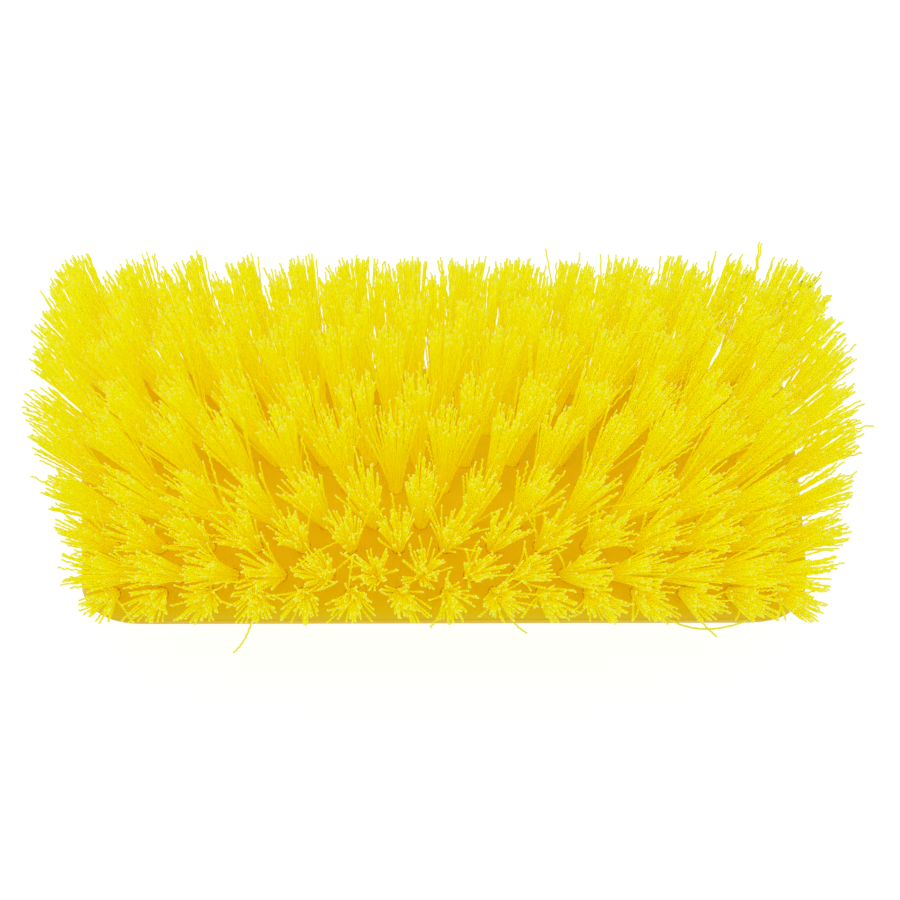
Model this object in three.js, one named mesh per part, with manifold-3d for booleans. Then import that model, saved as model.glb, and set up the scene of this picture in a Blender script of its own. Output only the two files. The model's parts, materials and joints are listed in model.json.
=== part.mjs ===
// Multi-angle scrubbing brush head: a moulded block with ten staggered rows of crimped
// bristle tufts that fan out over the front, the back and both ends.
// Millimetres, +Z up. The brush stands on the flat pad on its back, bristles up, with its
// length along X. The origin is the middle of the pad.
import * as THREE from 'three';
import { mergeVertices } from 'three/addons/utils/BufferGeometryUtils.js';
import Module from 'manifold-3d';

const wasm = await Module();
wasm.setup();

// Block
const BLOCK_LENGTH = 265;
const BLOCK_WIDTH = 116;
const CROWN_HEIGHT = 40; // pad to the middle of the tuft face
const FACE_RADIUS = 260; // the tuft face is a shallow arch along X
const FACE_STEPS = 8;
const RIM_BOTTOM = 28.2; // lower edge of the upright rim
const CORNER_RADIUS = 16.5;
const CORNER_STEPS = 6;
const PAD_LENGTH = 180;
const PAD_WIDTH = 62;
const PAD_CORNER_RADIUS = 24;
const FLANK_STEPS = 4;
const FLANK_CURVE = 1.4; // 1 is a straight flank from pad to rim, more is a fuller hull

// Handle socket, blind, in the middle of the pad
const SOCKET_DIAMETER = 20;
const SOCKET_DEPTH = 26;
const SOCKET_MOUTH_DIAMETER = 24;
const SOCKET_MOUTH_DEPTH = 2;
const SOCKET_SIDES = 24;

// Tuft rows, from the middle outwards, as distance from the middle line and tilt in degrees
const ROWS = [
  { offset: 6.3, tilt: 2.5 },
  { offset: 22, tilt: 16.5 },
  { offset: 32, tilt: 27.5 },
  { offset: 43.5, tilt: 34 },
  { offset: 51, tilt: 43.5 },
];
const ROW_LETTERS = 'abcdefghij'; // front to back
const TUFT_PITCH = 17.3;
const FULL_ROW_COUNT = 15; // rows with a tuft on the centre line, staggered with the others
const GROUPS_PER_ROW = 5;

// Tufts
const TUFT_LENGTH = 43.3; // face to cut end, in the middle of a row
const END_TRIM = 0.03; // shortening at the ends of the outer rows
const END_TRIM_MIDDLE = 0.13; // added to it at the ends of the middle rows
const FAN_HALF_LENGTH = 147.5; // tips at the ends of the middle rows reach this far
const FAN_BOW = 16; // the outer rows reach about this much less
const FAN_SHIFT = 0.15; // the fan is widest this share of its half width behind the middle
const FAN_HALF_WIDTH = 83;
const ROOT_RADIUS = 2.3;
const ROOT_DEPTH = 12;
const ROOT_RISE = 2.5; // the tuft stays round until it is clear of its hole
const TIP_RADIUS_ALONG = 6.8;
const TIP_RADIUS_ACROSS = 5;
const TUFT_SIDES = 6;
const FIT_GAP = 0.3;
const HOLE_SIDES = 6;

// Filaments of neighbouring tufts cross near their ends: a narrow web stands for them
const WEB_HEIGHT = 5;
const WEB_THICKNESS = 3;
const WEB_PLACE = 0.9; // along the tuft

const BRISTLE_COLOUR = 0xf0dc10;
const BLOCK_COLOUR = 0xe6cc12;

function solid(geometry) {
  const bare = geometry.clone();
  bare.deleteAttribute('normal');
  bare.deleteAttribute('uv');
  const merged = mergeVertices(bare, 1e-4);
  return new wasm.Manifold(new wasm.Mesh({
    numProp: 3,
    vertProperties: new Float32Array(merged.attributes.position.array),
    triVerts: new Uint32Array(merged.index.array),
  }));
}

function geometryOf(manifold) {
  const mesh = manifold.getMesh();
  const geometry = new THREE.BufferGeometry();
  geometry.setAttribute('position', new THREE.BufferAttribute(mesh.vertProperties, 3));
  geometry.setIndex(new THREE.BufferAttribute(mesh.triVerts, 1));
  geometry.computeVertexNormals();
  return geometry;
}

function namedMesh(name, manifold, colour, roughness) {
  const material = new THREE.MeshStandardMaterial({ color: colour, roughness, metalness: 0 });
  const mesh = new THREE.Mesh(geometryOf(manifold), material);
  mesh.name = name;
  return mesh;
}

function faceHeight(y) {
  return CROWN_HEIGHT - FACE_RADIUS + Math.sqrt(FACE_RADIUS ** 2 - y ** 2);
}

// Block: a hull lofted through level rings, from the pad up to above the tuft face

function ring(halfLength, halfWidth, radius, height) {
  const points = [];
  for (let corner = 0; corner < 4; corner += 1) {
    const x = (halfLength - radius) * (corner === 0 || corner === 3 ? 1 : -1);
    const y = (halfWidth - radius) * (corner < 2 ? 1 : -1);
    for (let step = 0; step <= CORNER_STEPS; step += 1) {
      const angle = ((corner + step / CORNER_STEPS) * Math.PI) / 2;
      points.push([x + radius * Math.cos(angle), y + radius * Math.sin(angle), height]);
    }
  }
  return points;
}

function hullRings() {
  const rings = [];
  for (let step = 0; step <= FLANK_STEPS; step += 1) {
    const rise = step / FLANK_STEPS;
    const share = (1 - rise) ** FLANK_CURVE;
    rings.push(ring(
      THREE.MathUtils.lerp(BLOCK_LENGTH, PAD_LENGTH, share) / 2,
      THREE.MathUtils.lerp(BLOCK_WIDTH, PAD_WIDTH, share) / 2,
      THREE.MathUtils.lerp(CORNER_RADIUS, PAD_CORNER_RADIUS, share),
      rise * RIM_BOTTOM,
    ));
  }
  rings.push(ring(BLOCK_LENGTH / 2, BLOCK_WIDTH / 2, CORNER_RADIUS, CROWN_HEIGHT + 1));
  return rings;
}

function loft(rings) {
  const count = rings[0].length;
  const index = [];
  for (let level = 0; level + 1 < rings.length; level += 1) {
    for (let place = 0; place < count; place += 1) {
      const low = level * count + place;
      const lowNext = level * count + ((place + 1) % count);
      index.push(low, lowNext, lowNext + count, low, lowNext + count, low + count);
    }
  }
  const top = (rings.length - 1) * count;
  for (let place = 1; place + 1 < count; place += 1) {
    index.push(0, place + 1, place);
    index.push(top, top + place, top + place + 1);
  }
  const geometry = new THREE.BufferGeometry();
  geometry.setAttribute('position', new THREE.Float32BufferAttribute(rings.flat(2), 3));
  geometry.setIndex(index);
  return geometry;
}

// Everything under the arched tuft face
function facePrism() {
  const edge = BLOCK_WIDTH / 2 + 1;
  const shape = new THREE.Shape();
  shape.moveTo(-edge, -1);
  shape.lineTo(edge, -1);
  for (let step = 0; step <= FACE_STEPS; step += 1) {
    const y = edge - (2 * edge * step) / FACE_STEPS;
    shape.lineTo(y, faceHeight(y));
  }
  const depth = BLOCK_LENGTH + 2;
  const geometry = new THREE.ExtrudeGeometry(shape, { depth, bevelEnabled: false });
  return geometry.translate(0, 0, -depth / 2).rotateX(Math.PI / 2).rotateZ(Math.PI / 2);
}

function socketCut() {
  const radius = SOCKET_DIAMETER / 2;
  const mouth = SOCKET_MOUTH_DIAMETER / 2;
  const profile = [
    new THREE.Vector2(0, -1),
    new THREE.Vector2(mouth, -1),
    new THREE.Vector2(mouth, 0),
    new THREE.Vector2(radius, SOCKET_MOUTH_DEPTH),
    new THREE.Vector2(radius, SOCKET_DEPTH),
    new THREE.Vector2(0, SOCKET_DEPTH),
  ];
  return new THREE.LatheGeometry(profile, SOCKET_SIDES).rotateX(Math.PI / 2);
}

// Tufts: where each one leaves the face and where its cut end lies

function tuftRows() {
  const rows = [];
  for (let index = 0; index < ROW_LETTERS.length; index += 1) {
    const side = index < ROWS.length ? -1 : 1;
    const row = index < ROWS.length ? ROWS[ROWS.length - 1 - index] : ROWS[index - ROWS.length];
    const count = index % 2 === 0 ? FULL_ROW_COUNT : FULL_ROW_COUNT - 1;
    const tufts = [];
    for (let number = 0; number < count; number += 1) {
      tufts.push(tuftLine(side * row.offset, side * row.tilt, number, count));
    }
    rows.push({ letter: ROW_LETTERS[index], tufts });
  }
  return rows;
}

function tuftLine(y, tilt, number, count) {
  const half = (count - 1) / 2;
  const place = (number - half) / half;
  const angle = THREE.MathUtils.degToRad(tilt);
  const reach = (y + TUFT_LENGTH * Math.sin(angle)) / FAN_HALF_WIDTH;
  const trim = END_TRIM + END_TRIM_MIDDLE * (1 - reach ** 2);
  const length = TUFT_LENGTH * (1 - trim * place ** 2);
  const root = new THREE.Vector3(place * half * TUFT_PITCH, y, faceHeight(y));
  const tip = new THREE.Vector3(
    place * (FAN_HALF_LENGTH - FAN_BOW * (reach - FAN_SHIFT) ** 2),
    root.y + length * Math.sin(angle),
    root.z + length * Math.cos(angle),
  );
  return { root, tip };
}

// Turns a shape made along +Z from the origin to lie along a tuft, with its own X kept level
// with the row
function layAlong(geometry, from, to) {
  const along = new THREE.Vector3().subVectors(to, from).normalize();
  const across = new THREE.Vector3().crossVectors(along, new THREE.Vector3(1, 0, 0)).normalize();
  const level = new THREE.Vector3().crossVectors(across, along);
  const frame = new THREE.Matrix4().makeBasis(level, across, along).setPosition(from);
  return geometry.applyMatrix4(frame);
}

function holeCut({ root, tip }) {
  const radius = (ROOT_RADIUS + FIT_GAP) / Math.cos(Math.PI / HOLE_SIDES);
  const depth = ROOT_DEPTH + FIT_GAP;
  const rise = 6;
  const geometry = new THREE.CylinderGeometry(radius, radius, depth + rise, HOLE_SIDES);
  geometry.rotateX(Math.PI / 2).translate(0, 0, (rise - depth) / 2);
  return layAlong(geometry, root, tip);
}

function tuftGeometry({ root, tip }) {
  const length = root.distanceTo(tip);
  const profile = [
    new THREE.Vector2(0, -ROOT_DEPTH),
    new THREE.Vector2(ROOT_RADIUS, -ROOT_DEPTH),
    new THREE.Vector2(ROOT_RADIUS, ROOT_RISE),
    new THREE.Vector2(TIP_RADIUS_ALONG, length),
    new THREE.Vector2(0, length),
  ];
  const geometry = new THREE.LatheGeometry(profile, TUFT_SIDES, Math.PI / 6);
  geometry.rotateX(Math.PI / 2);
  const position = geometry.attributes.position;
  for (let index = 0; index < position.count; index += 1) {
    const share = Math.max(0, (position.getZ(index) - ROOT_RISE) / (length - ROOT_RISE));
    const flat = THREE.MathUtils.lerp(1, TIP_RADIUS_ACROSS / TIP_RADIUS_ALONG, share);
    position.setY(index, position.getY(index) * flat);
  }
  return layAlong(geometry, root, tip);
}

function webGeometry(first, second) {
  const from = new THREE.Vector3().lerpVectors(first.root, first.tip, WEB_PLACE);
  const to = new THREE.Vector3().lerpVectors(second.root, second.tip, WEB_PLACE);
  const rowAxis = new THREE.Vector3().subVectors(to, from);
  const tuftAxis = new THREE.Vector3().subVectors(first.tip, first.root).setX(0).normalize();
  const across = new THREE.Vector3().crossVectors(tuftAxis, rowAxis).normalize();
  const up = new THREE.Vector3().crossVectors(rowAxis, across).normalize();
  const middle = new THREE.Vector3().lerpVectors(from, to, 0.5);
  const length = rowAxis.length();
  const frame = new THREE.Matrix4().makeBasis(rowAxis.normalize(), across, up);
  const geometry = new THREE.BoxGeometry(length, WEB_THICKNESS, WEB_HEIGHT);
  return geometry.applyMatrix4(frame.setPosition(middle));
}

function tuftGroup(tufts) {
  let body = solid(tuftGeometry(tufts[0]));
  for (let index = 1; index < tufts.length; index += 1) {
    body = body.add(solid(tuftGeometry(tufts[index])));
    body = body.add(solid(webGeometry(tufts[index - 1], tufts[index])));
  }
  return body;
}

function block(rows) {
  let body = solid(loft(hullRings())).intersect(solid(facePrism()));
  body = body.subtract(solid(socketCut()));
  for (const row of rows) {
    for (const tuft of row.tufts) {
      body = body.subtract(solid(holeCut(tuft)));
    }
  }
  return body;
}

const brush = new THREE.Group();
const rows = tuftRows();
brush.add(namedMesh('brush_block', block(rows), BLOCK_COLOUR, 0.45));
for (const row of rows) {
  for (let group = 0; group < GROUPS_PER_ROW; group += 1) {
    const start = Math.round((group * row.tufts.length) / GROUPS_PER_ROW);
    const end = Math.round(((group + 1) * row.tufts.length) / GROUPS_PER_ROW);
    const name = `tufts_${row.letter}_${group + 1}`;
    brush.add(namedMesh(name, tuftGroup(row.tufts.slice(start, end)), BRISTLE_COLOUR, 0.5));
  }
}

export default brush;
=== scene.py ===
"""Multi-angle scrub brush head: a moulded block and 145 tufts of crimped bristle.

Metres, +Z up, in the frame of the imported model. The brush rests on its back, bristles up.
"""
import json
import math

import bpy
import numpy as np
from mathutils import Matrix, Vector

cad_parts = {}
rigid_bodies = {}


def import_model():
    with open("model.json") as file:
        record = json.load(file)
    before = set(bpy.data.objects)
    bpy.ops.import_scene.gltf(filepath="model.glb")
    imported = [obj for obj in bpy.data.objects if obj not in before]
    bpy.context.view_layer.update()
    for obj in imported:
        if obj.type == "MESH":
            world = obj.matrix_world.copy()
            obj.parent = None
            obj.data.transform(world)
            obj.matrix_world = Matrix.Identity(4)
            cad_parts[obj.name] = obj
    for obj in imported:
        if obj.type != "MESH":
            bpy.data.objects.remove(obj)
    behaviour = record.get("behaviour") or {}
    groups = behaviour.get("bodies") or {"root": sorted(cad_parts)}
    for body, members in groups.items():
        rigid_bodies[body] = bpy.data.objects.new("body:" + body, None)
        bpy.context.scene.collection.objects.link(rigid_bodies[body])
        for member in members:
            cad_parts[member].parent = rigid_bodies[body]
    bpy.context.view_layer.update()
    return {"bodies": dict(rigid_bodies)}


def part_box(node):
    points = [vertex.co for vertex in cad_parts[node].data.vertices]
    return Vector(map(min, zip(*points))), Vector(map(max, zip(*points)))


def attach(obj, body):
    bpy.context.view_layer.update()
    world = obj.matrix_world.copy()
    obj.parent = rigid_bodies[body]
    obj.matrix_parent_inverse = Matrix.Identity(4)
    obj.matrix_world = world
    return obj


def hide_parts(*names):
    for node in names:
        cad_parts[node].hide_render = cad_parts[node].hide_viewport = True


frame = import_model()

BODY = next(iter(frame["bodies"]))
MM = 0.001

# ---------------------------------------------------------------- the block, as in the CAD part
BLOCK_LOW, BLOCK_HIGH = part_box("brush_block")
BLOCK_LENGTH = BLOCK_HIGH[0] - BLOCK_LOW[0]
BLOCK_WIDTH = BLOCK_HIGH[1] - BLOCK_LOW[1]
CROWN_HEIGHT = BLOCK_HIGH[2] - BLOCK_LOW[2]
FACE_RADIUS = 260 * MM
RIM_BOTTOM = 28.2 * MM
CORNER_RADIUS = 16.5 * MM
PAD_LENGTH = 180 * MM
PAD_WIDTH = 62 * MM
PAD_CORNER_RADIUS = 24 * MM
FLANK_CURVE = 1.4  # at 1 the flanks would be straight
RIM_FILLET = 3.0 * MM
PARTING_GROOVE = 0.25 * MM  # depth of the line that the mould leaves round the foot of the rim
PARTING_LEVELS = (0.15 * MM, 0.5 * MM, 0.65 * MM)  # it starts, ends and has closed this far up
PAD_EDGE_INSET = 1.2 * MM  # the pad's edge is eased over this width and height
PAD_EDGE_LIFT = 0.7 * MM

SOCKET_RADIUS = 10 * MM
SOCKET_DEPTH = 26 * MM
SOCKET_MOUTH_RADIUS = 12 * MM
SOCKET_MOUTH_DEPTH = 2 * MM
THREAD_PITCH = 5.0 * MM
THREAD_DEPTH = 1.5 * MM
THREAD_FOOT = 9 / 28  # half the ridge's width at its foot, as a share of the pitch
THREAD_SLOPE = 4.2  # how much of its depth the ridge gains for each pitch along
THREAD_RUN_IN = 2 * MM  # the ridge rises and fades over these lengths
THREAD_RUN_OUT = 3 * MM

# ---------------------------------------------------------------- the tufts, as in the CAD part
ROWS = [  # from the middle outwards: distance from the middle line, and tilt in degrees
    (6.3 * MM, 2.5),
    (22 * MM, 16.5),
    (32 * MM, 27.5),
    (43.5 * MM, 34),
    (51 * MM, 43.5),
]
ROW_LETTERS = "abcdefghij"  # front to back
TUFT_PITCH = 17.3 * MM
FULL_ROW_COUNT = 15
HALF_ROW_LENGTH = TUFT_PITCH * (FULL_ROW_COUNT - 1) / 2
GROUPS_PER_ROW = 5
TUFT_LENGTH = 43.3 * MM
END_TRIM = 0.03  # the last tuft of a row is this share shorter
END_TRIM_MIDDLE = 0.13  # and this much more in the middle of the brush
FAN_HALF_WIDTH = 83 * MM  # a tip's reach is 1 this far from the middle line
FAN_HALF_LENGTH = 147.5 * MM  # the tips spread this far along where their reach is FAN_SHIFT
FAN_SHIFT = 0.15
FAN_BOW = 16 * MM  # and less by this where their reach is 1 away from FAN_SHIFT
HOLE_RADIUS = 2.7 * MM
HOLE_DEPTH = 12.3 * MM
HOLE_BOTTOM_RADIUS = 0.55 * HOLE_RADIUS
HOLE_CONE_DEPTH = 0.4 * HOLE_RADIUS
HOLE_CUTTER_RISE = 4 * MM  # how far the cutter stands out of the face
HOLE_SIDES = 24

# ---------------------------------------------------------------- the bristles
FILAMENTS_PER_TUFT = 56
CLUMPS_PER_TUFT = 26
FILAMENT_RADIUS = 0.34 * MM
FILAMENT_SIDES = 5
FILAMENT_STEPS = 42
ROOT_SPREAD = 2.35 * MM  # radius of the bundle's middle lines where it leaves its hole
FOLD_DEPTH = 11.4 * MM  # the filaments go this deep into the hole
STRAIGHT_START = 4 * MM  # a bundle leaves its hole straight, and splays past this
CLUMP_LEAN = 0.095  # of the outermost clumps: sideways for each unit along the tuft
CLUMP_LEAN_EXTRA = 0.04  # what they lean beyond that on average, a few of them far more
CLUMP_LEAN_NOISE = 0.022
CLUMP_OPENING = 0.03  # a clump's own filaments part this much
CLUMP_BEND = 0.9 * MM
CLUMP_LENGTH_NOISE = 1.1 * MM
CLUMP_LENGTH_SHIFT = -0.7 * MM
FILAMENT_LEAN_NOISE = 0.011
FILAMENT_BEND = 0.25 * MM
FILAMENT_LENGTH_NOISE = 1.2 * MM
STRAY_SHARE = 0.2
STRAY_LEAN = 0.09
STRAY_BEND = 2.6 * MM
SHORT_SHARE = 0.07  # of the filaments, cut or broken up to SHORTEST_CUT shorter
SHORTEST_CUT = 6 * MM
CRIMP_HEIGHT = 0.2 * MM
CRIMP_START = 5 * MM  # the crimp grows over this length from the hole
CRIMP_HELD = 0.15  # share of it that shows low in a bundle, where neighbours hold it closed
CRIMP_OPEN = 0.85  # the rest of it, which opens towards the cut end
CRIMP_STRAY = 0.8  # and what a stray has on top
CRIMP_NOISE = 0.4  # a filament's crimp is this share higher or lower at most
CRIMP_PHASE_NOISE = 0.2  # the filaments of a clump wave nearly together
CRIMP_PLANE_NOISE = 0.35  # and nearly in one plane
GAUGE_NOISE = 0.07  # a filament is this share thicker or thinner at most
ROUND_END = 0.12 * MM  # the cut end is rounded over this length
END_BURR = 1.06  # the cutter leaves it slightly swollen
END_ROUNDED = 0.66
PALE_END = 0.7 * MM  # the cut end is paler over this length
TONE_NOISE = 0.3  # this share of a filament's tone is chance, the rest is painted shade that deepens towards its root
GOLDEN_TURN = 2.39996  # the angle between one sunflower seed and the next
STEEPEST_STRAY = 0.3  # sideways for each unit along the tuft
END_STRAY_CUT = 0.17  # less than that outwards at the brush's two ends
SIDE_STRAY_CUT = 0.2  # and in its front and back rows

ANCHOR_LENGTH = 5.7 * MM
ANCHOR_SECTIONS = 9
ANCHOR_HEIGHT = 1.7 * MM
ANCHOR_THICKNESS = 0.45 * MM
ANCHOR_DEPTH = 10.6 * MM
ANCHOR_ROUNDING = 0.12 * MM
ANCHOR_BOW = 0.3 * MM
ANCHOR_END_TAPER = 0.7

rng = np.random.default_rng(20)


def face_height(y):
    """Height of the arched tuft face above the pad."""
    return CROWN_HEIGHT - FACE_RADIUS + np.sqrt(FACE_RADIUS**2 - np.square(y))


def unit(vectors):
    return vectors / np.linalg.norm(vectors, axis=-1, keepdims=True)


def tuft_rows():
    """Each row as its letter, the points where its tufts leave the face, and their cut ends."""
    rows = []
    for index, letter in enumerate(ROW_LETTERS):
        front = index < len(ROWS)
        offset, tilt = ROWS[len(ROWS) - 1 - index] if front else ROWS[index - len(ROWS)]
        y = -offset if front else offset
        angle = math.radians(-tilt if front else tilt)
        count = FULL_ROW_COUNT - index % 2
        half = (count - 1) / 2
        place = (np.arange(count) - half) / half
        reach = (y + TUFT_LENGTH * math.sin(angle)) / FAN_HALF_WIDTH
        trim = END_TRIM + END_TRIM_MIDDLE * (1 - reach**2)
        length = TUFT_LENGTH * (1 - trim * place**2)
        roots = np.stack([
            place * half * TUFT_PITCH,
            np.full(count, y),
            np.full(count, face_height(y)),
        ], axis=1)
        tips = np.stack([
            place * (FAN_HALF_LENGTH - FAN_BOW * (reach - FAN_SHIFT) ** 2),
            roots[:, 1] + length * math.sin(angle),
            roots[:, 2] + length * math.cos(angle),
        ], axis=1)
        rows.append((letter, roots, tips))
    return rows


def tuft_axes(root, tip):
    """The tuft's own directions: level with the row, across it, and along the tuft."""
    along = unit(tip - root)
    across = unit(np.cross(along, [1.0, 0.0, 0.0]))
    return np.cross(across, along), across, along


# ---------------------------------------------------------------- meshes from arrays

def mesh_object(name, vertices, faces, smooth=True):
    """An object from an array of points and a list of faces."""
    mesh = bpy.data.meshes.new(name)
    mesh.from_pydata([tuple(v) for v in vertices], [], [tuple(f) for f in faces])
    mesh.validate()
    for polygon in mesh.polygons:
        polygon.use_smooth = smooth
    made = bpy.data.objects.new(name, mesh)
    bpy.context.scene.collection.objects.link(made)
    return made


def array_object(name, vertices, quads, ends):
    """As mesh_object, for many quads and many-sided ends held in arrays."""
    mesh = bpy.data.meshes.new(name)
    mesh.vertices.add(len(vertices))
    mesh.vertices.foreach_set("co", vertices.astype(np.float32).ravel())
    mesh.loops.add(quads.size + ends.size)
    corners = np.concatenate([quads.ravel(), ends.ravel()])
    mesh.loops.foreach_set("vertex_index", corners.astype(np.int32))
    mesh.polygons.add(len(quads) + len(ends))
    quad_starts = np.arange(0, quads.size, 4)
    end_starts = quads.size + np.arange(0, ends.size, ends.shape[1])
    starts = np.concatenate([quad_starts, end_starts]).astype(np.int32)
    mesh.polygons.foreach_set("loop_start", starts)
    mesh.polygons.foreach_set("use_smooth", np.ones(len(starts), bool))
    mesh.update(calc_edges=True)
    made = bpy.data.objects.new(name, mesh)
    bpy.context.scene.collection.objects.link(made)
    return made


def carve(target, cutters):
    """Cuts the joined cutters out of target, for good, and removes them."""
    for cutter in cutters:
        cut = target.modifiers.new("cut", "BOOLEAN")
        cut.operation = "DIFFERENCE"
        cut.solver = "EXACT"
        cut.object = cutter
    graph = bpy.context.evaluated_depsgraph_get()
    carved = bpy.data.meshes.new_from_object(target.evaluated_get(graph))
    target.modifiers.clear()
    target.data = carved
    for cutter in cutters:
        bpy.data.objects.remove(cutter)


# ---------------------------------------------------------------- block

def outline(half_length, half_width, radius):
    """Points round a rounded rectangle, as many for any size, paired across its length."""
    corner_steps, end_steps = 12, 20
    quarter = np.linspace(0, math.pi / 2, corner_steps + 1)
    end = np.linspace(-1, 1, end_steps + 1)[1:-1] * (half_width - radius)
    corner_x = half_length - radius + radius * np.cos(quarter)
    corner_y = half_width - radius + radius * np.sin(quarter)
    right_x = np.concatenate([corner_x[::-1], np.full(len(end), half_length), corner_x])
    right_y = np.concatenate([-corner_y[::-1], end, corner_y])
    return np.concatenate([
        np.stack([right_x, right_y], axis=1),
        np.stack([-right_x[::-1], right_y[::-1]], axis=1),
    ])


def block_rings():
    """Rings of points from the pad up the flank and the rim and over onto the tuft face."""
    rings = []
    for turn in np.linspace(0, math.pi / 2, 5):
        inset = PAD_EDGE_INSET * (1 - math.sin(turn))
        plan = outline(PAD_LENGTH / 2 - inset, PAD_WIDTH / 2 - inset, PAD_CORNER_RADIUS - inset)
        lift = PAD_EDGE_LIFT * (1 - math.cos(turn))
        rings.append(np.column_stack([plan, np.full(len(plan), lift)]))
    start = rings[-1][0, 2] / RIM_BOTTOM
    for rise in np.linspace(start, 1, 16)[1:]:
        share = (1 - rise) ** FLANK_CURVE
        plan = outline(
            (BLOCK_LENGTH + (PAD_LENGTH - BLOCK_LENGTH) * share) / 2,
            (BLOCK_WIDTH + (PAD_WIDTH - BLOCK_WIDTH) * share) / 2,
            CORNER_RADIUS + (PAD_CORNER_RADIUS - CORNER_RADIUS) * share,
        )
        rings.append(np.column_stack([plan, np.full(len(plan), rise * RIM_BOTTOM)]))
    for lift, inset in zip(PARTING_LEVELS, (PARTING_GROOVE, PARTING_GROOVE, 0)):
        plan = outline(BLOCK_LENGTH / 2 - inset, BLOCK_WIDTH / 2 - inset, CORNER_RADIUS - inset)
        rings.append(np.column_stack([plan, np.full(len(plan), RIM_BOTTOM + lift)]))
    for turn in np.linspace(0, math.pi / 2, 8):
        inset = RIM_FILLET * (1 - math.cos(turn))
        drop = RIM_FILLET * (1 - math.sin(turn))
        plan = outline(BLOCK_LENGTH / 2 - inset, BLOCK_WIDTH / 2 - inset, CORNER_RADIUS - inset)
        rings.append(np.column_stack([plan, face_height(plan[:, 1]) - drop]))
    return rings


def walls(levels, sides):
    """Faces that join that many rings of points, one above the other."""
    faces = []
    for level in range(levels - 1):
        for place in range(sides):
            low, low_next = level * sides + place, level * sides + (place + 1) % sides
            faces.append((low, low_next, low_next + sides, low + sides))
    return faces


def closed_stack(levels, sides):
    """The walls of a stack of rings, and one face over each end."""
    last = (levels - 1) * sides
    ends = [tuple(range(sides - 1, -1, -1)), tuple(range(last, last + sides))]
    return walls(levels, sides) + ends


def block_hull():
    rings = block_rings()
    count = len(rings[0])
    faces = walls(len(rings), count)
    top = (len(rings) - 1) * count
    for place in range(count // 2 - 1):  # strips across the face and the pad
        far, far_next = count - 1 - place, count - 2 - place
        faces.append((top + place, top + place + 1, top + far_next, top + far))
        faces.append((place + 1, place, far, far_next))
    return mesh_object("brush_block_looks", np.concatenate(rings), faces)


def hole_cutters(rows):
    """All tuft holes as one object: blind, along each tuft, with a drill's cone at the bottom."""
    profile = [
        (HOLE_BOTTOM_RADIUS, -HOLE_DEPTH),
        (HOLE_RADIUS, -HOLE_DEPTH + HOLE_CONE_DEPTH),
        (HOLE_RADIUS, HOLE_CUTTER_RISE),
    ]
    angles = np.arange(HOLE_SIDES) * 2 * math.pi / HOLE_SIDES
    points = np.concatenate([
        np.stack([r * np.cos(angles), r * np.sin(angles), np.full(HOLE_SIDES, z)], axis=1)
        for r, z in profile
    ])
    faces = closed_stack(len(profile), HOLE_SIDES)
    all_points, all_faces = [], []
    for _, roots, tips in rows:
        for root, tip in zip(roots, tips):
            level, across, along = tuft_axes(root, tip)
            start = sum(len(p) for p in all_points)
            placed = root + points[:, :1] * level + points[:, 1:2] * across
            all_points.append(placed + points[:, 2:] * along)
            all_faces += [tuple(start + corner for corner in face) for face in faces]
    return mesh_object("tuft_hole_cutters", np.concatenate(all_points), all_faces)


def socket_cutter():
    """The threaded handle socket: a bore whose radius follows a helical thread."""
    sides, steps_per_turn = 72, 12
    steps = int(SOCKET_DEPTH / THREAD_PITCH * steps_per_turn) + 3
    levels = np.linspace(-1 * MM, SOCKET_DEPTH, steps)
    angles = np.arange(sides) * 2 * math.pi / sides
    turn, height = np.meshgrid(angles, levels)
    phase = (height / THREAD_PITCH + turn / (2 * math.pi)) % 1
    ridge = np.clip(THREAD_SLOPE * (THREAD_FOOT - np.abs(phase - 0.5)), 0, 1)
    fade = np.clip((height - SOCKET_MOUTH_DEPTH) / THREAD_RUN_IN, 0, 1)
    fade *= np.clip((SOCKET_DEPTH - height) / THREAD_RUN_OUT, 0, 1)
    radius = SOCKET_RADIUS - THREAD_DEPTH * ridge * fade
    cone = SOCKET_MOUTH_RADIUS - np.clip(height / SOCKET_MOUTH_DEPTH, 0, None) * (
        SOCKET_MOUTH_RADIUS - SOCKET_RADIUS)
    radius = np.where(height < SOCKET_MOUTH_DEPTH, cone, radius)
    points = np.stack([radius * np.cos(turn), radius * np.sin(turn), height], axis=2)
    return mesh_object("socket_cutter", points.reshape(-1, 3), closed_stack(len(levels), sides))


def make_block(rows, material):
    block = block_hull()
    carve(block, [hole_cutters(rows), socket_cutter()])
    block.data.set_sharp_from_angle(angle=math.radians(35))
    even = block.modifiers.new("even_normals", "WEIGHTED_NORMAL")
    even.keep_sharp = True
    dress(block, material)
    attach(block, BODY)
    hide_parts("brush_block")


# ---------------------------------------------------------------- bristles

def sunflower(count):
    """That many points spread evenly over a disc of radius 1, turned by chance."""
    turn = (np.arange(count) + rng.random() * 50) * GOLDEN_TURN
    reach = np.sqrt((np.arange(count) + 0.5) / count)
    return np.stack([reach * np.cos(turn), reach * np.sin(turn)], axis=1)


def held_in(lean, reach, cut):
    """Keeps strays near the brush's edges from leaning far outwards; reach is -1 or 1 there."""
    side = np.sign(reach) if reach else 1
    return np.minimum(lean * side, STEEPEST_STRAY - cut * reach**2) * side


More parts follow.
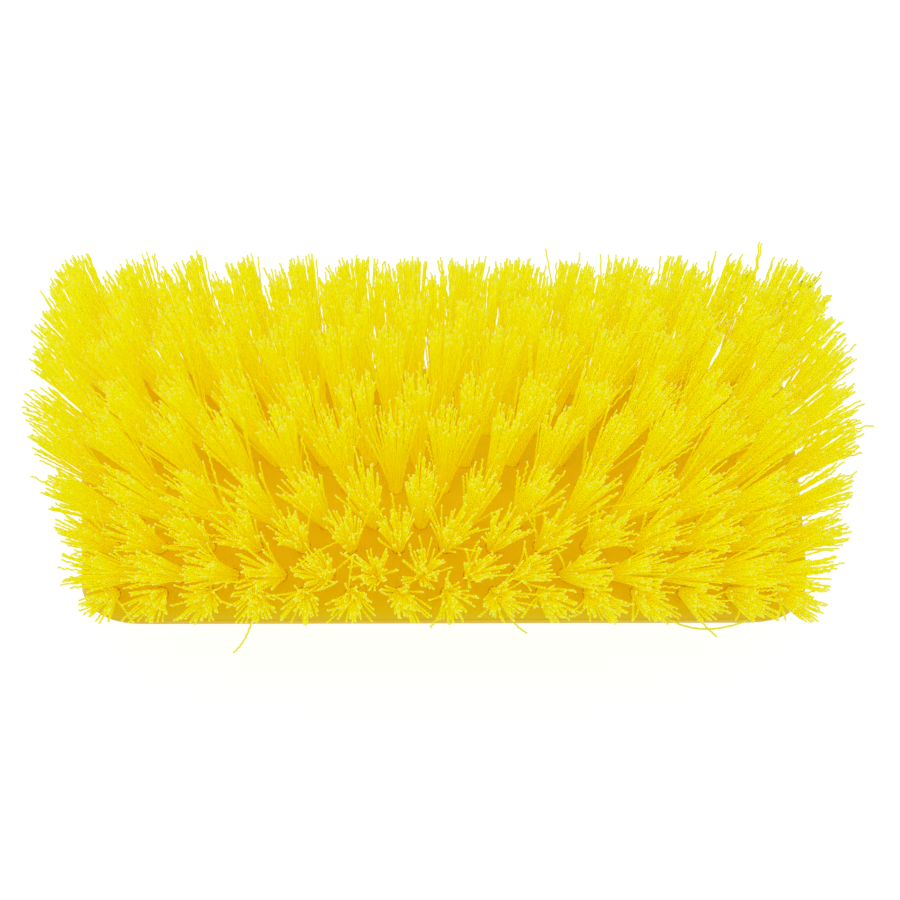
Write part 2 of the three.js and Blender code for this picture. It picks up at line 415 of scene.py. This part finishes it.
def tuft_filaments(root, tip):
    """Centre lines of one tuft's filaments, as points [filament, step, xyz]."""
    level, across, along = tuft_axes(root, tip)
    length = np.linalg.norm(tip - root)
    count, clumps = FILAMENTS_PER_TUFT, CLUMPS_PER_TUFT

    # Where the filaments leave the hole, and the clump of neighbours that each sticks to
    place = sunflower(count)
    middles = sunflower(clumps)
    clump = np.argmin(np.linalg.norm(place[:, None] - middles[None], axis=2), axis=1)

    # How they splay: outer clumps lean out, some of them far, and a few single strays more
    lean = CLUMP_LEAN + rng.exponential(CLUMP_LEAN_EXTRA, (clumps, 1))
    clump_slope = middles * lean + rng.normal(0, CLUMP_LEAN_NOISE, (clumps, 2))
    stray = rng.random((count, 1)) < STRAY_SHARE
    slope = clump_slope[clump] + (place - middles[clump]) * CLUMP_OPENING
    own_lean = np.where(stray, STRAY_LEAN, FILAMENT_LEAN_NOISE)
    slope = slope + rng.normal(0, 1, (count, 2)) * own_lean
    steep = np.linalg.norm(slope, axis=1, keepdims=True)
    slope *= np.minimum(1, STEEPEST_STRAY / np.maximum(steep, 1e-6))
    bend = rng.normal(0, CLUMP_BEND, (clumps, 2))[clump]
    bend = bend + rng.normal(0, 1, (count, 2)) * np.where(stray, STRAY_BEND, FILAMENT_BEND)
    whole = slope + bend / length
    whole[:, 0] = held_in(whole[:, 0], root[0] / HALF_ROW_LENGTH, END_STRAY_CUT)
    whole[:, 1] = held_in(whole[:, 1], root[1] / ROWS[-1][0], SIDE_STRAY_CUT)
    slope = whole - bend / length

    # Four steps to each wave of the crimp, from the hole's mouth to the cut end
    end = length + rng.normal(CLUMP_LENGTH_SHIFT, CLUMP_LENGTH_NOISE, clumps)[clump]
    end = end + rng.normal(0, FILAMENT_LENGTH_NOISE, count)
    end = end - np.where(rng.random(count) < SHORT_SHARE, rng.random(count) * SHORTEST_CUT, 0)
    travel = end[:, None] * np.linspace(0, 1, FILAMENT_STEPS)
    phase = rng.random(clumps)[clump] * 2 * math.pi + rng.normal(0, CRIMP_PHASE_NOISE, count)
    wave = np.sin(np.arange(FILAMENT_STEPS) * math.pi / 2 + phase[:, None])
    open_crimp = CRIMP_HELD + CRIMP_OPEN * (travel / length) ** 3
    own_crimp = 1 + CRIMP_NOISE * (2 * rng.random((count, 1)) - 1)
    wave = wave * CRIMP_HEIGHT * (open_crimp * own_crimp + CRIMP_STRAY * stray)
    wave = wave * np.clip(travel / CRIMP_START, 0, 1)
    plane = rng.random(clumps)[clump] * math.pi + rng.normal(0, CRIMP_PLANE_NOISE, count)

    splayed = travel - STRAIGHT_START * (1 - np.exp(-travel / STRAIGHT_START))
    share = (travel / length) ** 2
    side = place[:, None, :] * ROOT_SPREAD + slope[:, None, :] * splayed[:, :, None]
    side = side + bend[:, None, :] * share[:, :, None]
    side[:, :, 0] += wave * np.cos(plane)[:, None]
    side[:, :, 1] += wave * np.sin(plane)[:, None]
    lines = root + side[:, :, :1] * level + side[:, :, 1:] * across
    lines = lines + travel[:, :, None] * along
    fold = lines[:, :1] - FOLD_DEPTH * along
    rounding = ROUND_END * unit(lines[:, -1:] - lines[:, -2:-1])
    return np.concatenate([fold, lines, lines[:, -1:] + rounding], axis=1)


def filament_rings(lines):
    """Rings of points round each centre line: [filament, step, side, xyz]."""
    filaments, steps = lines.shape[:2]
    run = unit(np.diff(lines, axis=1))
    middle = np.concatenate([run[:, :1], unit(run[:, 1:] + run[:, :-1]), run[:, -1:]], axis=1)
    overall = unit(lines[:, -1] - lines[:, 0])[:, None, :]
    first = unit(np.cross(middle, np.roll(overall, 1, axis=2)))
    second = np.cross(middle, first)
    angles = np.arange(FILAMENT_SIDES) * 2 * math.pi / FILAMENT_SIDES
    angles = angles[None, :] + rng.random((filaments, 1)) * 2 * math.pi
    radius = np.full(steps, FILAMENT_RADIUS)
    radius[-2] *= END_BURR
    radius[-1] *= END_ROUNDED
    gauge = 1 + GAUGE_NOISE * (2 * rng.random((filaments, 1, 1, 1)) - 1)
    radius = radius[None, :, None, None] * gauge
    around = np.cos(angles)[:, None, :, None] * first[:, :, None, :]
    around = around + np.sin(angles)[:, None, :, None] * second[:, :, None, :]
    return lines[:, :, None, :] + radius * around


def filament_faces(filaments, steps):
    """The side quads of that many filaments, and their two ends each."""
    sides = FILAMENT_SIDES
    start = np.arange(filaments)[:, None, None] * steps * sides
    step = np.arange(steps - 1)[None, :, None] * sides
    side = np.arange(sides)[None, None, :]
    low = start + step + side
    low_next = start + step + (side + 1) % sides
    quads = np.stack([low, low_next, low_next + sides, low + sides], axis=-1).reshape(-1, 4)
    first = np.arange(filaments)[:, None] * steps * sides
    bottom = first + np.arange(sides)[::-1]
    top = first + (steps - 1) * sides + np.arange(sides)
    return quads, np.concatenate([bottom, top])


def filament_piece(name, lines, material):
    """One object from many centre lines, with what its material reads at each point."""
    filaments, steps = lines.shape[:2]
    points = filament_rings(lines).reshape(-1, 3)
    piece = array_object(name, points, *filament_faces(filaments, steps))
    from_end = np.linalg.norm(lines - lines[:, -1:], axis=2)
    pale = np.clip(1 - from_end / PALE_END, 0, 1)
    # tone: painted shade along each filament, deeper towards the root, plus a share that is chance
    tone = (1 - TONE_NOISE) * np.linspace(0, 1, steps) + TONE_NOISE * rng.random((filaments, 1))
    for label, values in (("pale", pale), ("tone", tone)):
        layer = piece.data.attributes.new(label, "FLOAT", "POINT")
        at_points = np.repeat(values.ravel(), FILAMENT_SIDES).astype(np.float32)
        layer.data.foreach_set("value", at_points)
    dress(piece, material)
    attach(piece, BODY)
    return piece


def make_bristles(rows, material):
    for letter, roots, tips in rows:
        for group in range(GROUPS_PER_ROW):
            start = math.floor(group * len(roots) / GROUPS_PER_ROW + 0.5)
            end = math.floor((group + 1) * len(roots) / GROUPS_PER_ROW + 0.5)
            lines = np.concatenate([
                tuft_filaments(roots[number], tips[number]) for number in range(start, end)
            ])
            piece = filament_piece(f"bristles_{letter}_{group + 1}", lines, material)
            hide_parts(f"tufts_{letter}_{group + 1}")


# Single filaments that have worked loose and lie across the others or hang over the front:
# x of the tuft they come from, its row's letter, then two guide points and the end, in mm
LOOSE_FILAMENTS = [
    (-69.2, "a", (-71, -68, 40), (-73, -68, 29), (-77.5, -62, 14)),
    (86.5, "a", (89, -62, 37), (94, -64, 31), (99, -61.5, 22.5)),
    (69.2, "a", (80, -62, 30), (92, -63, 23), (109, -62, 33)),
    (17.3, "a", (19, -62, 42), (24, -66, 34), (29, -63, 27)),
    (-34.6, "c", (-40, -46, 66), (-52, -62, 70), (-58, -58, 58)),
    (51.9, "g", (55, 36, 78), (70, 34, 88), (82, 30, 84)),
]


def loose_filaments(rows):
    """Centre lines of the loose filaments, with their crimp, as points [filament, step, xyz]."""
    lines = []
    along = np.linspace(0, 1, FILAMENT_STEPS)[:, None]
    for x, letter, first, second, end in LOOSE_FILAMENTS:
        roots = rows[ROW_LETTERS.index(letter)][1]
        root = roots[np.argmin(np.abs(roots[:, 0] - x * MM))]
        first, second, end = (np.array(point) * MM for point in (first, second, end))
        line = root * (1 - along) ** 3 + first * 3 * along * (1 - along) ** 2
        line = line + second * 3 * along**2 * (1 - along) + end * along**3
        wave = np.sin(np.arange(FILAMENT_STEPS) * math.pi / 2 + rng.random() * 6)
        line[:, 0] += wave * CRIMP_HEIGHT
        lines.append(line)
    return np.array(lines)


# ---------------------------------------------------------------- wire anchors

def anchor_shape():
    """Points and faces of one flat wire anchor along X, bowed up a little at its ends."""
    side, top = ANCHOR_THICKNESS / 2, ANCHOR_HEIGHT / 2
    inner_side, inner_top = side - ANCHOR_ROUNDING, top - ANCHOR_ROUNDING
    section = [
        (inner_side, top), (side, inner_top), (side, -inner_top), (inner_side, -top),
        (-inner_side, -top), (-side, -inner_top), (-side, inner_top), (-inner_side, top),
    ]
    points = []
    for place in np.linspace(-1, 1, ANCHOR_SECTIONS):
        narrow = 1 if abs(place) < 1 else ANCHOR_END_TAPER
        lift = ANCHOR_BOW * place**2
        points += [(place * ANCHOR_LENGTH / 2, y * narrow, z * narrow + lift) for y, z in section]
    return np.array(points), closed_stack(ANCHOR_SECTIONS, len(section))


def make_anchors(rows, material):
    """One piece for each row of anchors, each pressed in across its hole on the folded bristle."""
    shape, shape_faces = anchor_shape()
    for letter, roots, tips in rows:
        points, faces = [], []
        for root, tip in zip(roots, tips):
            level, across, along = tuft_axes(root, tip)
            start = len(points) * len(shape)
            placed = root + shape[:, :1] * level + shape[:, 1:2] * across
            points.append(placed + (shape[:, 2:] - ANCHOR_DEPTH) * along)
            faces += [tuple(start + corner for corner in reversed(face)) for face in shape_faces]
        piece = mesh_object(f"anchors_{letter}", np.concatenate(points), faces, smooth=False)
        dress(piece, material)
        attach(piece, BODY)


# ---------------------------------------------------------------- materials

BRISTLE_COLOR = (1.0, 0.96, 0.0)
# Painted shade along each filament: a deeper tone at the root, a lighter one at the cut end
BRISTLE_SHADED_ROOT_TONE = (1.0, 0.95, 0.0)
BRISTLE_LIT_END_TONE = (1.0, 1.0, 0.0)
BRISTLE_CUT_TONE = (1.0, 1.0, 0.13)
BRISTLE_PAINTED_GLOW = (1.0, 0.78, 0.0)  # painted glow: emission that stands in for light passing through the filaments and lightens their shade
BLOCK_COLOR = (0.89, 0.61, 0.0)
BLOCK_TONES = ((0.88, 0.59, 0.0), (0.90, 0.63, 0.0))
BLOCK_PAINTED_GLOW = (1.0, 0.66, 0.0)  # painted glow in the block too, for light passing a little way into it
ANCHOR_COLOR = (0.62, 0.62, 0.63)
ANCHOR_TONES = ((0.56, 0.56, 0.57), (0.68, 0.68, 0.69))


def new_material(name, color, roughness):
    material = bpy.data.materials.new(name)
    material.use_nodes = True
    nodes = material.node_tree.nodes
    shader = nodes["Principled BSDF"]
    shader.inputs["Base Color"].default_value = (*color, 1)
    shader.inputs["Roughness"].default_value = roughness
    return material, nodes, material.node_tree.links, shader


def dress(piece, material):
    """Puts a node material on the object, over a plain one of the same colour on its mesh."""
    shader = material.node_tree.nodes["Principled BSDF"]
    color = shader.inputs["Base Color"].default_value[:3]
    roughness = shader.inputs["Roughness"].default_value
    name = material.name + "_plain"
    plain = bpy.data.materials.get(name) or new_material(name, color, roughness)[0]
    plain.node_tree.nodes["Principled BSDF"].inputs["Metallic"].default_value = (
        shader.inputs["Metallic"].default_value)
    piece.data.materials.append(plain)
    piece.material_slots[0].link = "OBJECT"
    piece.material_slots[0].material = material


def noise(nodes, links, scale, detail):
    """A noise texture fixed to the object, with its waves 1/scale metres apart."""
    where = nodes.new("ShaderNodeTexCoord")
    texture = nodes.new("ShaderNodeTexNoise")
    texture.inputs["Scale"].default_value = scale
    texture.inputs["Detail"].default_value = detail
    links.new(where.outputs["Object"], texture.inputs["Vector"])
    return texture.outputs["Fac"]


def ramp(nodes, links, value, low, high, colors):
    """Two colours that value runs between, from low to high."""
    made = nodes.new("ShaderNodeValToRGB")
    for element, position, color in zip(made.color_ramp.elements, (low, high), colors):
        element.position = position
        element.color = (*color, 1)
    links.new(value, made.inputs["Fac"])
    return made.outputs["Color"]


def spread(nodes, links, value, low, high):
    """value's middle range, 0.3 to 0.7, spread from low to high."""
    made = nodes.new("ShaderNodeMapRange")
    made.inputs["From Min"].default_value = 0.3
    made.inputs["From Max"].default_value = 0.7
    made.inputs["To Min"].default_value = low
    made.inputs["To Max"].default_value = high
    links.new(value, made.inputs["Value"])
    return made.outputs["Result"]


def bump(nodes, links, shader, height, distance, strength):
    made = nodes.new("ShaderNodeBump")
    made.inputs["Distance"].default_value = distance
    made.inputs["Strength"].default_value = strength
    links.new(height, made.inputs["Height"])
    links.new(made.outputs["Normal"], shader.inputs["Normal"])


def attribute(nodes, name):
    made = nodes.new("ShaderNodeAttribute")
    made.attribute_name = name
    return made.outputs["Fac"]


def bristle_material():
    """Dyed filament, paler at its cut end, with painted shade that deepens its tone towards the root
    and a faint painted glow.
    """
    material, nodes, links, shader = new_material("bristle_filament", BRISTLE_COLOR, roughness=0.42)
    # painted shade: the filament's tone deepens towards its root
    painted_shade_tones = (BRISTLE_SHADED_ROOT_TONE, BRISTLE_LIT_END_TONE)
    tone = ramp(nodes, links, attribute(nodes, "tone"), low=0.1, high=0.9, colors=painted_shade_tones)
    mix = nodes.new("ShaderNodeMix")
    mix.data_type = "RGBA"
    mix.inputs["B"].default_value = (*BRISTLE_CUT_TONE, 1)
    links.new(tone, mix.inputs["A"])
    links.new(attribute(nodes, "pale"), mix.inputs["Factor"])
    links.new(mix.outputs["Result"], shader.inputs["Base Color"])
    grain = noise(nodes, links, scale=2600, detail=2)
    roughness = spread(nodes, links, grain, low=0.34, high=0.5)
    links.new(roughness, shader.inputs["Roughness"])
    bump(nodes, links, shader, grain, distance=0.02 * MM, strength=0.3)
    shader.inputs["Specular IOR Level"].default_value = 0.08
    # painted glow: a faint emission that stands in for light passing through the filaments and
    # lightens their shade
    shader.inputs["Emission Color"].default_value = (*BRISTLE_PAINTED_GLOW, 1)
    shader.inputs["Emission Strength"].default_value = 0.055
    return material


def block_material():
    """Moulded plastic: faint flow mottling and a fine grain."""
    material, nodes, links, shader = new_material("moulded_block", BLOCK_COLOR, roughness=0.42)
    flow = noise(nodes, links, scale=22, detail=4)
    tone = ramp(nodes, links, flow, low=0.35, high=0.7, colors=BLOCK_TONES)
    links.new(tone, shader.inputs["Base Color"])
    grain = noise(nodes, links, scale=2200, detail=3)
    roughness = spread(nodes, links, grain, low=0.36, high=0.52)
    links.new(roughness, shader.inputs["Roughness"])
    bump(nodes, links, shader, grain, distance=0.06 * MM, strength=0.5)
    shader.inputs["Specular IOR Level"].default_value = 0.04
    # painted glow: a faint emission that stands in for light passing into the block and lightens the
    # shade between the tufts
    shader.inputs["Emission Color"].default_value = (*BLOCK_PAINTED_GLOW, 1)
    shader.inputs["Emission Strength"].default_value = 0.045
    return material


def anchor_material():
    """Drawn stainless wire with a fine uneven finish."""
    material, nodes, links, shader = new_material("anchor_wire", ANCHOR_COLOR, roughness=0.32)
    shader.inputs["Metallic"].default_value = 1
    grain = noise(nodes, links, scale=3000, detail=3)
    tone = ramp(nodes, links, grain, low=0.3, high=0.7, colors=ANCHOR_TONES)
    links.new(tone, shader.inputs["Base Color"])
    roughness = spread(nodes, links, grain, low=0.25, high=0.4)
    links.new(roughness, shader.inputs["Roughness"])
    bump(nodes, links, shader, grain, distance=0.02 * MM, strength=0.4)
    return material


# ---------------------------------------------------------------- studio

CAMERA_ELEVATION = 51.2
CAMERA_TURN = 4.0  # the right end of the brush is turned away by this
CAMERA_DISTANCE = 2.0
VIEW_WIDTH = 332.1 * MM  # what the frame takes in at the brush
SENSOR = 36.0
AIM = Vector((0, 0, 37 * MM))
AIM_RIGHT = 3.1 * MM
AIM_UP = 11.2 * MM
WORLD_LIGHT = 0.71
FLOOR_REACH = 6.0
FLOOR_COLOR = (0.2, 0.2, 0.2)
FLOOR_GLOW = 0.9


def make_camera():
    rise, turn = math.radians(CAMERA_ELEVATION), math.radians(CAMERA_TURN)
    right = Vector((1, 0, 0))
    up = Vector((0, math.sin(rise), math.cos(rise)))
    back = Vector((0, -math.cos(rise), math.sin(rise)))
    back, right = (
        back * math.cos(turn) - right * math.sin(turn),
        right * math.cos(turn) + back * math.sin(turn),
    )
    data = bpy.data.cameras.new("camera")
    data.sensor_width = SENSOR
    data.lens = SENSOR * CAMERA_DISTANCE / VIEW_WIDTH
    data.clip_end = 20
    camera = bpy.data.objects.new("camera", data)
    bpy.context.scene.collection.objects.link(camera)
    place = AIM + right * AIM_RIGHT + up * AIM_UP + back * CAMERA_DISTANCE
    turned = Matrix((right, up, back)).transposed().to_4x4()
    camera.matrix_world = Matrix.Translation(place) @ turned
    bpy.context.scene.camera = camera


def make_light(name, size, power, place):
    """A square light of that many watts, turned towards the brush."""
    data = bpy.data.lights.new(name, "AREA")
    data.size = size
    data.energy = power
    light = bpy.data.objects.new(name, data)
    bpy.context.scene.collection.objects.link(light)
    light.location = place
    light.rotation_mode = "QUATERNION"
    light.rotation_quaternion = (light.location - AIM).to_track_quat("Z", "Y")


def make_studio():
    scene = bpy.context.scene
    scene.view_settings.view_transform = "Standard"
    scene.cycles.max_bounces = 24
    scene.cycles.diffuse_bounces = 20
    world = bpy.data.worlds.new("studio")
    world.use_nodes = True
    world.node_tree.nodes["Background"].inputs["Color"].default_value = (1, 1, 1, 1)
    world.node_tree.nodes["Background"].inputs["Strength"].default_value = WORLD_LIGHT
    scene.world = world
    make_light("key", size=1.2, power=2.4, place=Vector((-0.6, -0.5, 1.8)))
    make_light("left", size=1.0, power=2.2, place=Vector((-1.5, -0.3, 0.6)))
    make_light("right", size=1.0, power=2.0, place=Vector((1.5, -0.3, 0.6)))
    corners = [(x * FLOOR_REACH, y * FLOOR_REACH, 0) for x, y in ((-1, -1), (1, -1), (1, 1), (-1, 1))]
    floor = mesh_object("floor", corners, [(0, 1, 2, 3)])
    material, _, _, shader = new_material("floor", FLOOR_COLOR, roughness=0.8)
    shader.inputs["Emission Color"].default_value = (1, 1, 1, 1)
    shader.inputs["Emission Strength"].default_value = FLOOR_GLOW
    floor.data.materials.append(material)
    floor.visible_diffuse = False  # so that it throws no diffuse light on the brush


make_camera()
tufts = tuft_rows()
make_block(tufts, block_material())
make_anchors(tufts, anchor_material())
bristle = bristle_material()
make_bristles(tufts, bristle)
filament_piece("bristles_loose", loose_filaments(tufts), bristle)
make_studio()
